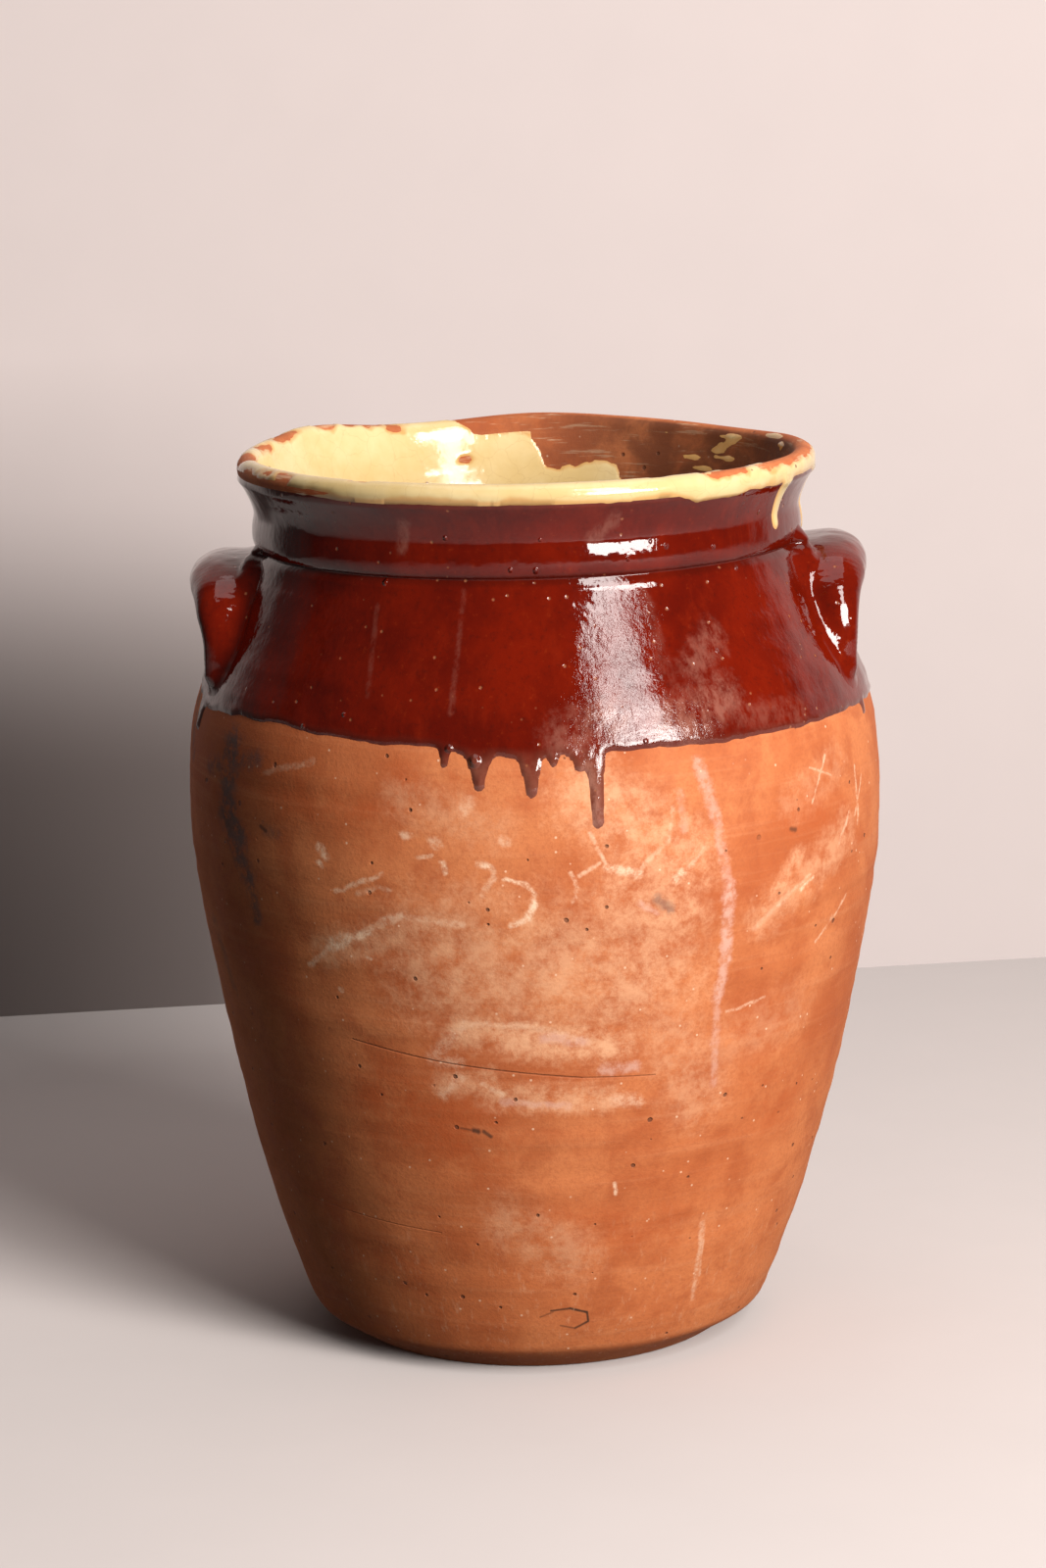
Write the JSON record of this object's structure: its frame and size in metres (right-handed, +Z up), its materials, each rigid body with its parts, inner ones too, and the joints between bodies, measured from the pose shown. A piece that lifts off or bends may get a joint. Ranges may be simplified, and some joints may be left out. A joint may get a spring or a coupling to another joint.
{
  "type": "two-lugged earthenware preserving jar",
  "caption": "Round-bodied clay storage jar with a flared rolled lip, grooved collar and arched side lugs, brown-glazed outside the shoulder and cream-glazed inside.",
  "frame": {"origin": "centre of the flat base, on the surface that the jar stands on", "axes": "+Z up through the mouth, +X through the right lug, -Y towards the front"},
  "size_m": [0.236, 0.236, 0.3053],
  "materials": {
    "bare_terracotta": "matt fired clay, mottled orange to brown, with pale scuffs and dark pits",
    "brown_glaze": "glossy reddish brown lead glaze with pinholes, drips along its lower edge",
    "cream_glaze": "glossy pale yellow cream glaze, flaked off the rim and one side of the inside"
  },
  "bodies": {
    "root": {"jar_body": "bare_terracotta", "right_lug": "bare_terracotta", "left_lug": "bare_terracotta", "brown_glaze_coat": "brown_glaze", "cream_glaze_lining": "cream_glaze"}
  },
  "joints": []
}
